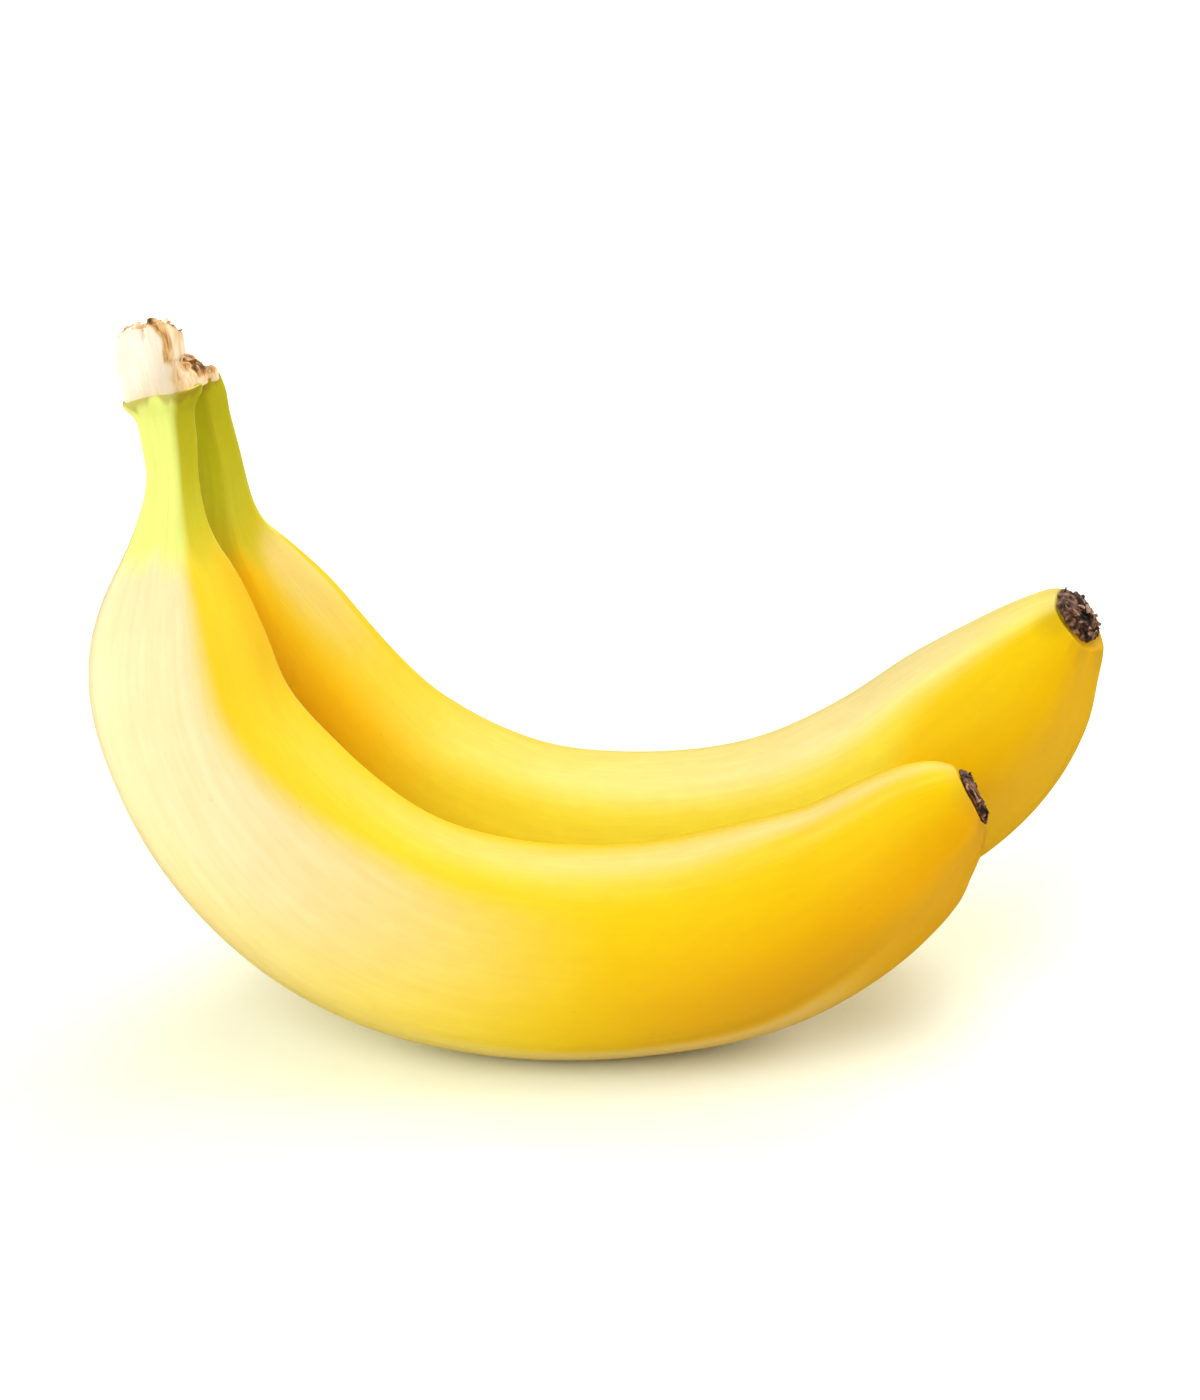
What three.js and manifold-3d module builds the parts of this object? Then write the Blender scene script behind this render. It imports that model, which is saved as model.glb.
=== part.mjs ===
// Two bananas still joined at their crown, lying side by side on their bellies.
// Millimetres, +Z up. X runs from the crown to the blossom ends, Y from the near fruit to the far one.
import * as THREE from 'three';
import { mergeVertices } from 'three/addons/utils/BufferGeometryUtils.js';
import Module from 'manifold-3d';

const wasm = await Module();
wasm.setup();

// ---- driving dimensions ----

const RIDGES = 5; // a banana has five long ridges
const FRUIT_SIDES = 6 * RIDGES; // facets round a fruit
const FRUIT_RINGS = 60; // rings of facets along a fruit
const END_CROWDING = 0.5; // how much closer together the rings stand at both ends
const WIDTH_TO_DEPTH = 0.97; // a fruit is a little narrower across than it is deep
const FIRST_RIDGE = 36; // degrees from the hollow side to the first ridge where there is no twist
const CLEARANCE = 0.3; // gap between two pieces that touch
const REST_DEPTH = 1.2; // how much of each belly is pressed flat where it rests

// The middle line of each fruit, crown to blossom end.
const NEAR_LINE = [
  [-74.0, -6.6, 117.0],
  [-72.9, -7.1, 104.5],
  [-73.2, -10.1, 88.5],
  [-71.0, -16.8, 64.5],
  [-57.8, -19.6, 42.3],
  [-37.2, -19.8, 25.2],
  [-11.7, -19.4, 18.4],
  [17.3, -19.0, 20.5],
  [38.8, -18.4, 29.2],
  [55.5, -17.9, 42.9],
  [62.4, -17.4, 48.0],
];
const FAR_LINE = [
  [-69.6, 4.9, 114.8],
  [-67.2, 5.6, 102.0],
  [-66.0, 9.2, 82.0],
  [-56.8, 16.0, 55.0],
  [-40.6, 18.6, 31.1],
  [-18.7, 18.7, 20.0],
  [7.8, 18.0, 18.0],
  [32.3, 17.8, 22.2],
  [50.6, 17.8, 30.6],
  [65.0, 18.0, 43.2],
  [82.8, 17.8, 64.8],
];

// Half depth of each fruit: [share of its length, mm].
const NEAR_DEPTH = [
  [0, 6.7],
  [0.008, 6.3],
  [0.018, 5.0],
  [0.035, 4.5],
  [0.07, 4.3],
  [0.115, 6.8],
  [0.15, 11.0],
  [0.2, 15.0],
  [0.28, 16.9],
  [0.34, 18.3],
  [0.4, 19.0],
  [0.55, 19.0],
  [0.7, 18.5],
  [0.8, 18.1],
  [0.88, 15.5],
  [0.94, 12.8],
  [0.98, 9.3],
  [1, 6.0],
];
const FAR_DEPTH = [
  [0, 4.4],
  [0.01, 4.7],
  [0.03, 4.3],
  [0.07, 4.8],
  [0.115, 6.9],
  [0.15, 10.6],
  [0.2, 14.6],
  [0.28, 17.3],
  [0.4, 19.9],
  [0.55, 18.6],
  [0.7, 17.9],
  [0.8, 18.6],
  [0.88, 17.3],
  [0.94, 13.3],
  [0.98, 8.9],
  [1, 6.4],
];

// The ridges along either fruit: [share of its length, round part, sharp part, twist in degrees].
const RIDGE_PROFILE = [
  [0, 0.05, 0.01, 32],
  [0.04, 0.085, 0.02, 34],
  [0.1, 0.085, 0.02, 34],
  [0.2, 0.05, 0.008, 31],
  [0.33, 0.035, 0.004, 17],
  [0.46, 0.028, 0.003, 2],
  [0.64, 0.028, 0.003, 2],
  [0.77, 0.034, 0.004, 0],
  [0.87, 0.044, 0.006, -6],
  [0.95, 0.05, 0.008, -6],
  [1, 0.04, 0.006, -6],
];

const CROWN_RISE = 0.21; // how steeply the crown's flat underside rises along X
const CROWN_FADE = 0.05; // share of a fruit over which its rings lean into that plane

// Where each blossom end faces, as degrees above level in the XZ plane and towards +Y, over what share
// of the fruit its rings lean that way, and how far above its middle the crust of the flower sits.
const NEAR_TIP = { lift: 26, side: 7, fade: 0.07, crustUp: 0.2 };
const FAR_TIP = { lift: 45, side: -14, fade: 0.07, crustUp: 0.5 };

// Cork lumps of the crown on its underside's plane: [height, centre x, centre y, half width, half depth].
const CROWN_SIDES = 24;
const CROWN_LAYERS = 10;
const STUMP = [
  [0, -3.3, -3.2, 4.3, 5.5],
  [4, -3.2, -3.2, 4.8, 5.7],
  [8, -2.9, -3.4, 5.1, 5.3],
  [11, -2.5, -4.4, 4.6, 4.1],
  [12.8, -2.1, -5.3, 3.2, 2.5],
];
const SHOULDER = [
  [0, 0.9, 1.6, 3.9, 6.4],
  [2, 0.9, 1.7, 3.6, 6.0],
  [4, 0.5, 2.0, 3.0, 5.0],
  [5.4, 0.1, 2.2, 1.8, 3.4],
];
const TOE = [
  [0, 4.2, 5.8, 2.1, 2.5],
  [1.2, 4.8, 5.8, 1.6, 2.0],
  [2.2, 5.2, 5.8, 0.8, 1.1],
];

// The dried flower at a blossom end, from its back face out to its heart: [radius, height].
const FLOWER_SIDES = 30;
const FLOWER = [
  [0, 0],
  [4.3, 0],
  [5.0, 0.4],
  [4.8, 0.9],
  [3.7, 1.3],
  [2.4, 0.9],
  [1.1, 0.8],
  [0, 1.1],
];

// ---- helpers ----

const rad = THREE.MathUtils.degToRad;
const smooth = THREE.MathUtils.smoothstep;

// A table of stations [place, value, value...] as a smooth curve through them.
function stations(rows) {
  const places = rows.map((row) => row[0]);
  const values = rows.flatMap((row) => row.slice(1));
  return new THREE.CubicInterpolant(places, values, rows[0].length - 1);
}

// A closed geometry whose positions alone are kept and merged.
function merged(geometry) {
  geometry.deleteAttribute('normal');
  geometry.deleteAttribute('uv');
  return mergeVertices(geometry, 1e-4);
}

// Moves every vertex of a geometry by a function of its place.
function reshape(geometry, move) {
  const position = geometry.getAttribute('position');
  const point = new THREE.Vector3();
  for (let i = 0; i < position.count; i += 1) {
    point.fromBufferAttribute(position, i);
    move(point);
    position.setXYZ(i, point.x, point.y, point.z);
  }
  return geometry;
}

function solidOf(geometry) {
  const closed = merged(geometry);
  const vertProperties = closed.getAttribute('position').array;
  const triVerts = new Uint32Array(closed.index.array);
  return new wasm.Manifold(new wasm.Mesh({ numProp: 3, vertProperties, triVerts }));
}

function geometryOf(solid) {
  const mesh = solid.getMesh();
  const geometry = new THREE.BufferGeometry();
  geometry.setAttribute('position', new THREE.BufferAttribute(mesh.vertProperties, 3));
  geometry.setIndex(new THREE.BufferAttribute(mesh.triVerts, 1));
  geometry.computeVertexNormals();
  return geometry;
}

// ---- the fruit ----

// Unit direction that a blossom end faces.
function tipNormal(tip) {
  const flat = Math.cos(rad(tip.side));
  const x = flat * Math.cos(rad(tip.lift));
  const z = flat * Math.sin(rad(tip.lift));
  return new THREE.Vector3(x, Math.sin(rad(tip.side)), z);
}

// The crown's flat underside rises by CROWN_RISE along X and passes through the top of both necks.
const nearTop = new THREE.Vector3(...NEAR_LINE[0]);
const farTop = new THREE.Vector3(...FAR_LINE[0]);
const apart = farTop.clone().sub(nearTop);
const crownNormal = new THREE.Vector3(-CROWN_RISE, (CROWN_RISE * apart.x - apart.z) / apart.y, 1).normalize();

function middleLine(line) {
  const curve = new THREE.CatmullRomCurve3(line.map((p) => new THREE.Vector3(...p)), false, 'centripetal');
  curve.arcLengthDivisions = 800;
  return curve;
}

// Rings stand closer together towards both ends of a fruit, where its shape changes fastest.
function shareAt(step) {
  return step - (END_CROWDING * Math.sin(2 * Math.PI * step)) / (2 * Math.PI);
}

// How far out the skin is at an angle from the hollow side, as a factor: five soft ridges.
function ridgeFactor(angle, [round, sharp, twist]) {
  const phase = RIDGES * (angle - rad(FIRST_RIDGE + twist));
  return 1 + round * Math.cos(phase) + sharp * Math.cos(2 * phase);
}

// Slides an offset along the middle line into the plane across a given direction.
function leanInto(offset, tangent, normal, amount) {
  const slide = (-offset.dot(normal) / tangent.dot(normal)) * amount;
  return offset.addScaledVector(tangent, slide);
}

// One whole fruit: neck, body and blossom end in one skin, swept along its middle line.
function fruitGeometry(line, depths, tip) {
  const curve = middleLine(line);
  const depthAt = stations(depths);
  const ridgesAt = stations(RIDGE_PROFILE);
  const tipFace = tipNormal(tip);
  const straight = new THREE.CylinderGeometry(1, 1, 1, FRUIT_SIDES, FRUIT_RINGS);
  return reshape(straight, (point) => {
    const share = shareAt(THREE.MathUtils.clamp(0.5 - point.y, 0, 1));
    const angle = Math.atan2(-point.x, point.z);
    const reach = Math.hypot(point.x, point.z);
    const depth = depthAt.evaluate(share)[0] * ridgeFactor(angle, ridgesAt.evaluate(share)) * reach;
    const along = curve.getTangentAt(share);
    const side = new THREE.Vector3(0, 1, 0).addScaledVector(along, -along.y).normalize();
    const inward = new THREE.Vector3().crossVectors(along, side);
    const offset = inward.multiplyScalar(depth * Math.cos(angle));
    offset.addScaledVector(side, -depth * WIDTH_TO_DEPTH * Math.sin(angle));
    leanInto(offset, along, crownNormal, 1 - smooth(share, 0, CROWN_FADE));
    leanInto(offset, along, tipFace, smooth(share, 1 - tip.fade, 1));
    point.copy(curve.getPointAt(share)).add(offset);
  });
}

// Presses a fruit's lowest stretch flat, so that it rests on a small spot.
function pressFlat(geometry, height) {
  return reshape(geometry, (point) => {
    point.z = Math.max(point.z, height);
  });
}

function lowest(geometry) {
  geometry.computeBoundingBox();
  return geometry.boundingBox.min.z;
}

function peel() {
  return new THREE.MeshStandardMaterial({ name: 'banana_peel', color: '#f4c81c', roughness: 0.42, metalness: 0 });
}

function fruit(name, line, depths, tip, restHeight) {
  const geometry = pressFlat(fruitGeometry(line, depths, tip), restHeight);
  const mesh = new THREE.Mesh(merged(geometry), peel());
  mesh.geometry.computeVertexNormals();
  mesh.name = name;
  return mesh;
}

// ---- the crown ----

// A blocky lump of cork standing on z = 0, its rings given from the bottom up.
function lump(rings, phase) {
  const ringAt = stations(rings);
  const top = rings[rings.length - 1][0];
  const block = new THREE.CylinderGeometry(1, 1, 1, CROWN_SIDES, CROWN_LAYERS);
  return reshape(block, (point) => {
    const height = (point.y + 0.5) * top;
    const angle = Math.atan2(-point.z, point.x);
    const reach = Math.hypot(point.x, point.z);
    const [x, y, halfWidth, halfDepth] = ringAt.evaluate(height);
    const square = (Math.cos(angle) ** 4 + Math.sin(angle) ** 4) ** -0.25;
    const bumps = 1 + 0.05 * Math.sin(3 * angle + phase) + 0.035 * Math.sin(7 * angle + phase + 0.5 * height);
    const out = reach * square * bumps;
    point.set(x + halfWidth * out * Math.cos(angle), y + halfDepth * out * Math.sin(angle), height);
  });
}

// The cut stump that the fruits grew from, one piece of pale cork with a tall side and a low side.
function crown() {
  const whole = solidOf(lump(STUMP, 0.4)).add(solidOf(lump(SHOULDER, 2.1))).add(solidOf(lump(TOE, 4.0)));
  const cork = new THREE.MeshStandardMaterial({ name: 'crown_cork', color: '#f0dcb8', roughness: 0.85, metalness: 0 });
  const mesh = new THREE.Mesh(geometryOf(whole), cork);
  mesh.name = 'crown';
  mesh.position.lerpVectors(nearTop, farTop, 0.5).addScaledVector(crownNormal, CLEARANCE);
  mesh.quaternion.setFromUnitVectors(new THREE.Vector3(0, 0, 1), crownNormal);
  return mesh;
}

// ---- the blossom ends ----

// The dried remains of the flower: a ragged star-shaped crust with a raised ring and a heart.
function blossomEnd(name, line, tip, phase) {
  const profile = FLOWER.map(([radius, height]) => new THREE.Vector2(radius, height));
  const crust = reshape(new THREE.LatheGeometry(profile, FLOWER_SIDES), (point) => {
    const angle = Math.atan2(point.z, point.x);
    const radius = Math.hypot(point.x, point.z);
    const teeth = 0.07 * Math.cos(5 * angle + phase) + 0.06 * Math.cos(11 * angle + 2 * phase);
    const out = radius * (1 + teeth);
    const rough = 1 + 0.22 * Math.sin(4 * angle + phase) * Math.min(1, radius / 2);
    point.set(out * Math.cos(angle), point.y * rough, out * Math.sin(angle));
  });
  const dried = new THREE.MeshStandardMaterial({ name: 'dried_flower', color: '#3a2415', roughness: 0.9, metalness: 0 });
  const mesh = new THREE.Mesh(merged(crust), dried);
  mesh.geometry.computeVertexNormals();
  mesh.name = name;
  const facing = tipNormal(tip);
  const uphill = new THREE.Vector3(0, 0, 1).addScaledVector(facing, -facing.z).normalize();
  mesh.position.set(...line[line.length - 1]).addScaledVector(facing, CLEARANCE);
  mesh.position.addScaledVector(uphill, tip.crustUp);
  mesh.quaternion.setFromUnitVectors(new THREE.Vector3(0, 1, 0), facing);
  return mesh;
}

// ---- the bunch ----

// Both bellies rest on one level, REST_DEPTH above the lower side of the higher one.
const bellies = [
  fruitGeometry(NEAR_LINE, NEAR_DEPTH, NEAR_TIP),
  fruitGeometry(FAR_LINE, FAR_DEPTH, FAR_TIP),
];
const restHeight = Math.max(...bellies.map(lowest)) + REST_DEPTH;

const bunch = new THREE.Group();
bunch.name = 'banana_bunch';
bunch.add(
  fruit('banana_front', NEAR_LINE, NEAR_DEPTH, NEAR_TIP, restHeight),
  fruit('banana_back', FAR_LINE, FAR_DEPTH, FAR_TIP, restHeight),
  crown(),
  blossomEnd('blossom_end_front', NEAR_LINE, NEAR_TIP, 0.3),
  blossomEnd('blossom_end_back', FAR_LINE, FAR_TIP, 1.7),
);

// The origin is the middle of the footprint's box, on the surface that the bunch rests on.
const box = new THREE.Box3().setFromObject(bunch, true);
const middle = box.getCenter(new THREE.Vector3());
bunch.position.set(-middle.x, -middle.y, -box.min.z);
bunch.updateMatrixWorld(true);

export default bunch;
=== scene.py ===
"""Two bananas still joined at their crown, resting side by side on their bellies.

Metres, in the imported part's frame: +X runs from the crown to the blossom ends and +Z is up.
The tables of the fruit, crown and blossom ends are in millimetres.
"""

import math

import bpy
import numpy as np
from mathutils import Matrix, Vector, kdtree, noise


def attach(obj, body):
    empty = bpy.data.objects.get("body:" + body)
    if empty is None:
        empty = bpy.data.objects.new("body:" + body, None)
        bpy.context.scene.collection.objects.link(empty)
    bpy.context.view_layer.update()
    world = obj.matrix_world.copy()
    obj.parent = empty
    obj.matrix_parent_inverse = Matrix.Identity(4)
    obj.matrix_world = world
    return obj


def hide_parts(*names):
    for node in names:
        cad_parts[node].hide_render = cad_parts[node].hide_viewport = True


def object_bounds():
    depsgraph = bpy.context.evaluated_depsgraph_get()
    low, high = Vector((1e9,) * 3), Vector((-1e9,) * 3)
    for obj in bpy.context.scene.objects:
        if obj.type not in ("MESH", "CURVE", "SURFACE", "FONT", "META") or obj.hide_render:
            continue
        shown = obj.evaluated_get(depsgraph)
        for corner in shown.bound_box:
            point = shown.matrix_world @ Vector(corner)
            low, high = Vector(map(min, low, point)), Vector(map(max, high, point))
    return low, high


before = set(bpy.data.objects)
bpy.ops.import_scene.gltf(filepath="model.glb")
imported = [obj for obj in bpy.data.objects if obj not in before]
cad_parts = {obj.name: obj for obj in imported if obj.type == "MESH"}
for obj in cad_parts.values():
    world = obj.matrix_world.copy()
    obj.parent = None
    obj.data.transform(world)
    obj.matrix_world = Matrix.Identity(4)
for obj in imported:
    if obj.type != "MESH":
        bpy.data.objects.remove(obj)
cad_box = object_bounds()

MM = 0.001

# ---- sizes of the set ----

FLOOR_RADIUS = 0.86
FLOOR_SIDES = 96
LENS = 120
EYE_AIM = (-1.23, -0.64, 57.96)  # where the camera looks, in mm
EYE_AWAY = 0.8046  # how far the camera stands from there
EYE_LIFT = 26  # degrees above level
ROOM_FILL = 0.29  # strength of the soft light from all round
LIT_POINT = Vector((0, 0, 0.05))
LAMPS_AWAY = 1.3  # how far every softbox stands from the lit point

# The softboxes: name, degrees round from the camera's side (left is -90), degrees up, size in metres,
# watts, and whether it is there for the skin's sheen alone.
SOFTBOXES = [
    ("front_key", -30, 40, 0.75, 9.8, False),
    ("left_key", -90, 16, 1.1, 7.7, False),
    ("right_back", 150, 40, 0.75, 9.7, False),
    ("right", 103, 28, 1.0, 10.6, False),
    ("low_front", -28, 5, 0.8, 3.2, False),
    ("top", -10, 78, 0.9, 3.7, False),
    ("top_back_sheen", 180, 70, 0.75, 12, True),
    ("left_back_sheen", -122, 38, 0.9, 20, True),
    ("left_sheen", -65, 16, 0.9, 7, True),
    ("right_back_sheen", 138, 28, 0.9, 3, True),
]

# ---- shape and looks of the fruit ----

RIDGES = 5  # a banana has five long ridges
FRUIT_SIDES = 8 * RIDGES
FRUIT_RINGS = 84
FRUIT_SMOOTHING = 2  # levels of subdivision
END_CROWDING = 0.78  # how much closer together the rings stand at both ends
WIDTH_TO_DEPTH = 0.97
FIRST_RIDGE = 36  # degrees from the hollow side to the first ridge where there is no twist
PLUMP = 1.004  # makes up for what smoothing takes off a ring
GIRTH = 19  # half thickness of a fruit in its skin's own coordinates

# The middle line of each fruit, crown to blossom end.
NEAR_LINE = [
    (-74.0, -6.6, 117.0),
    (-72.9, -7.1, 104.5),
    (-73.2, -10.1, 88.5),
    (-71.0, -16.8, 64.5),
    (-57.8, -19.6, 42.3),
    (-37.2, -19.8, 25.2),
    (-11.7, -19.4, 18.4),
    (17.3, -19.0, 20.5),
    (38.8, -18.4, 29.2),
    (55.5, -17.9, 42.9),
    (62.4, -17.4, 48.0),
]
FAR_LINE = [
    (-69.6, 4.9, 114.8),
    (-67.2, 5.6, 102.0),
    (-66.0, 9.2, 82.0),
    (-56.8, 16.0, 55.0),
    (-40.6, 18.6, 31.1),
    (-18.7, 18.7, 20.0),
    (7.8, 18.0, 18.0),
    (32.3, 17.8, 22.2),
    (50.6, 17.8, 30.6),
    (65.0, 18.0, 43.2),
    (83.1, 17.6, 65.2),
]

# Half depth of each fruit: share of its length, mm.
NEAR_DEPTH = [
    (0, 6.8),
    (0.005, 6.5),
    (0.011, 5.3),
    (0.02, 4.7),
    (0.035, 4.5),
    (0.07, 4.3),
    (0.115, 6.8),
    (0.15, 11.0),
    (0.2, 15.0),
    (0.28, 16.9),
    (0.34, 18.3),
    (0.4, 19.0),
    (0.55, 19.0),
    (0.7, 18.5),
    (0.8, 18.1),
    (0.88, 15.5),
    (0.94, 12.8),
    (0.98, 9.3),
    (1, 6.0),
]
FAR_DEPTH = [
    (0, 4.4),
    (0.01, 4.7),
    (0.03, 4.3),
    (0.07, 4.8),
    (0.115, 6.9),
    (0.15, 10.6),
    (0.2, 14.6),
    (0.28, 17.3),
    (0.4, 19.9),
    (0.55, 18.6),
    (0.7, 17.9),
    (0.8, 18.6),
    (0.88, 17.3),
    (0.94, 13.3),
    (0.98, 8.9),
    (1, 6.4),
]

# The ridges along either fruit: share of its length, round part, sharp part, twist in degrees.
RIDGE_PROFILE = [
    (0, 0.05, 0.01, 32),
    (0.04, 0.085, 0.02, 34),
    (0.1, 0.085, 0.02, 34),
    (0.2, 0.05, 0.008, 31),
    (0.33, 0.035, 0.004, 17),
    (0.46, 0.028, 0.003, 2),
    (0.64, 0.028, 0.003, 2),
    (0.77, 0.034, 0.004, 0),
    (0.87, 0.044, 0.006, -6),
    (0.95, 0.05, 0.008, -6),
    (1, 0.04, 0.006, -6),
]

# The skin's unevenness: how high in mm, how many lumps to a mm across and along the fruit, and a seed.
# Below each stand the shares of the length where it comes and, at the ends alone, where it goes.
SWELLS = (0.2, (0.06, 0.06, 0.022), 3.1)
SWELLS_AT = (0.12, 0.3)
RIPPLES = (0.05, (0.22, 0.22, 0.06), 7.7)
RIPPLES_AT = (0.1, 0.2)
NECK_CREASES = (0.16, (0.35, 0.35, 0.03), 1.3)
NECK_CREASES_AT = (0.005, 0.03), (0.11, 0.2)
TIP_PUCKERS = (0.12, (0.25, 0.25, 0.04), 5.9)
TIP_PUCKERS_AT = (0.93, 0.985), (0.995, 1.0)

# How ripe each fruit looks, and the light and shade painted on its skin. Pairs are the degrees past the first
# ridge over which a look comes or goes.
# cream_highlight: where the painted highlight on the cream half towards the neck begins.
# top: how pale the painted top light is. collar: how pale the painted highlight on its top by the neck is.
# lemon: how far its top is still lemon, partly its own tone and partly painted top light, and the shares over
# which that side narrows.
# under: how deep a gold its underside is, partly ripeness and partly painted shade, and the shares over which
# that comes.
# lip: how far its very bottom is painted paler, as light bounced up from the floor. ridge_shadow: how strong
# the painted shadow just above that is.
# hollow: how deep a gold is painted as shade in its hollow by the neck. groove: how strong the amber painted
# as light bounced between the fruits is on the side towards the other fruit.
# dark_neck: where the dark green painted as shade on its neck ends on the side towards -Y and on the other.
NEAR_LOOK = {
    "cream_highlight": (-6, 14),
    "top": 0.55,
    "top_edge": (-36, -8),
    "collar": 0,
    "lemon": (0.7, 0.95, 1.2),
    "lemon_edge": (-36, -8),
    "under": (1.0, 0.55, 0.8),
    "under_edge": (-8, 66),
    "lip": 1,
    "ridge_shadow": 0.6,
    "hollow": 0.4,
    "groove": 0,
    "dark_neck": ((-14, 4), (-14, 4)),
}
FAR_LOOK = {
    "cream_highlight": (95, 125),
    "top": 0.7,
    "top_edge": (-20, 12),
    "collar": 0.42,
    "lemon": (1.0, 0.76, 0.92),
    "lemon_edge": (20, 46),
    "under": (0.75, 0.7, 0.85),
    "under_edge": (10, 90),
    "lip": 0,
    "ridge_shadow": 0,
    "hollow": 0.0,
    "groove": 0.9,
    "dark_neck": ((60, 90), (-14, 4)),
}

LOOK_WANDER = (0.05, 0.05, 0.02)  # lumps to a mm of the noise that every edge between looks follows
LOOK_SWAY = 4  # degrees by which such an edge wanders
LOOK_DRIFT = 0.04  # share of the length by which it wanders
LEMON_DRAWS_IN = 32  # degrees that the lemon side draws in towards the blossom end

# Where the looks of both fruits, with the light and shade painted on them, come or go. These are shares of
# the length:
CREAM_HIGHLIGHT_GOES = (0.31, 0.71)
CREAM_HIGHLIGHT_GOES_SOONER = 0.08  # by this much on the underside
TOP_COMES = (0.25, 0.85)
TOP_FADES = (0.9, 1)
COLLAR_GOES = (0.16, 0.32)
LIP_COMES, LIP_GOES = (0.45, 0.68), (0.78, 0.91)
RIDGE_SHADOW_COMES, RIDGE_SHADOW_GOES = (0.5, 0.8), (0.84, 0.94)
LEMON_COMES = (0.36, 0.62)
HOLLOW_GOES = (0.18, 0.32)
GROOVE_GOES = (0.26, 0.42)
# These are degrees past the first ridge:
UNDERSIDE = (30, 70)
COLLAR_EDGE = (-50, -12)
LIP_EDGE = (78, 95)
RIDGE_SHADOW_EDGES = (38, 70), (78, 90)
GROOVE_EDGE = (-36, 6)
# These are degrees from the middle of the hollow side:
HOLLOW_EDGE = (8, 42)
GROOVE_SIDE = (0, 20)

RIM_RISE = 0.7  # how far the torn rim of the skin stands up round the crown
RIM_LENGTH = 0.012  # share of the fruit over which it rises
RIM_WIDTH = (0.75, 1)  # reaches over which it rises from the fruit's flat end
RIM_PEAK = 75  # degrees from the hollow side to where that rim stands highest
CROWN_RISE = 0.21  # how steeply the crown's flat underside rises along X
CROWN_FADE = 0.05  # share of a fruit over which its rings lean into that plane

# Where a blossom end faces, as degrees above level in the XZ plane and towards +Y.
# crust_up is how far its crust lies above its middle, in mm, and crust its size.
NEAR_TIP = {"lift": 26, "side": 7, "fade": 0.07, "crust_up": 0.2, "crust": (0.96, 0.96, 0.75)}
FAR_TIP = {"lift": 45, "side": -14, "fade": 0.07, "crust_up": 0.5, "crust": (1, 1, 1)}
NOSE_FALL = 1.1  # how far the skin falls back from the middle of a blossom end to its rim
NOSE_ROUND = 3.2  # length of the fruit over which that rim is rounded off
NOSE_SHRINK = 0.2  # share of its radius that the rounding takes off

# Rings that close a fruit's two flat ends: their reach, as a share of the end's radius.
END_RINGS = (0.3, 0.75, 0.96)

# ---- shape of the crown and the blossom ends ----

CLEARANCE = 0.3  # the CAD leaves this much between pieces that grew as one

# Cork lumps of the crown over its underside's plane: height, centre x, centre y, half width, half depth.
CORK_SIDES = 40
CORK_LAYERS = 14
CORK_GRAIN = 0.2  # size of the cells that the lumps are joined with
STUMP = [
    (-0.7, -3.4, -3.2, 4.2, 5.4),
    (1.5, -3.4, -3.2, 4.3, 5.5),
    (4.5, -3.3, -3.2, 4.7, 5.6),
    (8.0, -3.0, -3.2, 4.9, 5.6),
    (10.3, -2.6, -3.1, 4.7, 5.5),
    (11.8, -2.3, -3.1, 4.3, 5.3),
    (12.4, -2.1, -3.1, 3.6, 4.7),
]
SHOULDER = [
    (-0.7, 0.8, 1.4, 3.9, 6.2),
    (1, 0.8, 1.4, 3.7, 6.0),
    (2.6, 0.7, 1.5, 3.4, 5.4),
    (4.4, 0.3, 1.7, 3.0, 4.8),
    (5.6, 0.1, 1.9, 2.2, 3.8),
]
TOE = [
    (-0.7, 4.2, 5.8, 2.2, 2.5),
    (0.7, 4.8, 5.8, 1.7, 2.0),
    (1.4, 5.2, 5.8, 1.1, 1.4),
    (1.8, 5.4, 5.8, 0.5, 0.7),
]
STUMP_TURN = 15  # degrees that the stump's faces are turned towards the left
SHOULDER_TURN = 12

# Flat faces cut on the lumps: a point of the cut, and which way it faces.
STUMP_CUTS = [
    ((-5.4, -8.4, 5), (-0.27, -0.96, 0.02)),
    ((2.3, -4.0, 8), (0.95, -0.25, 0.1)),
    ((-7.0, -3.0, 10.4), (-0.76, 0, 0.65)),
    ((-5.8, -3.0, 11.5), (-0.4, 0, 0.92)),
    ((1.9, -4.0, 10.7), (0.68, -0.05, 0.73)),
    ((-2.5, -6.3, 12.0), (0.08, 0.46, 0.88)),
]
SHOULDER_CUTS = [
    ((2.6, -1.0, 3.9), (0.66, -0.05, 0.75)),
]

# What roughens the cork: how high in mm, how many lumps to a mm across and along it, and a seed.
CORK_FIBRES = (0.06, (1.3, 1.3, 0.1), 2.2)
CORK_DENTS = (0.25, (0.3, 0.3, 0.2), 5.1)
CORK_CRUMBS = (0.7, (0.75, 0.75, 0.5), 8.3)
CORK_GRIT = (0.22, 1.7, 9.1)
CRUMBS_SINK = 0.25  # how deep the torn parts lie between the crumbs
EDGES_WANDER = (0.35, 0.6, 3.3)
FISSURE_DEPTH = 0.8
FISSURE_WIDTH = 0.22
FISSURE_X = -2.5
FISSURE_HEIGHTS = (8.6, 10.8)
LAYER_RISE = 0.4  # how far the loose layer stands out over the block's front
LAYER_EDGE = (-0.12, 0.12)

# What makes the torn parts' edges patchy, and what stains the cork and its torn parts, in the same order.
TORN_PATCHES = (1, (0.55, 0.55, 0.4), 4.4)
CORK_STAINS = (0.18, (0.8, 0.8, 0.25), 12.0)
TORN_SCORCH = (0.4, 0.9, 17.0)
BIT_PATCHES = (0.3, 1.0, 2.0)

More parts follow.
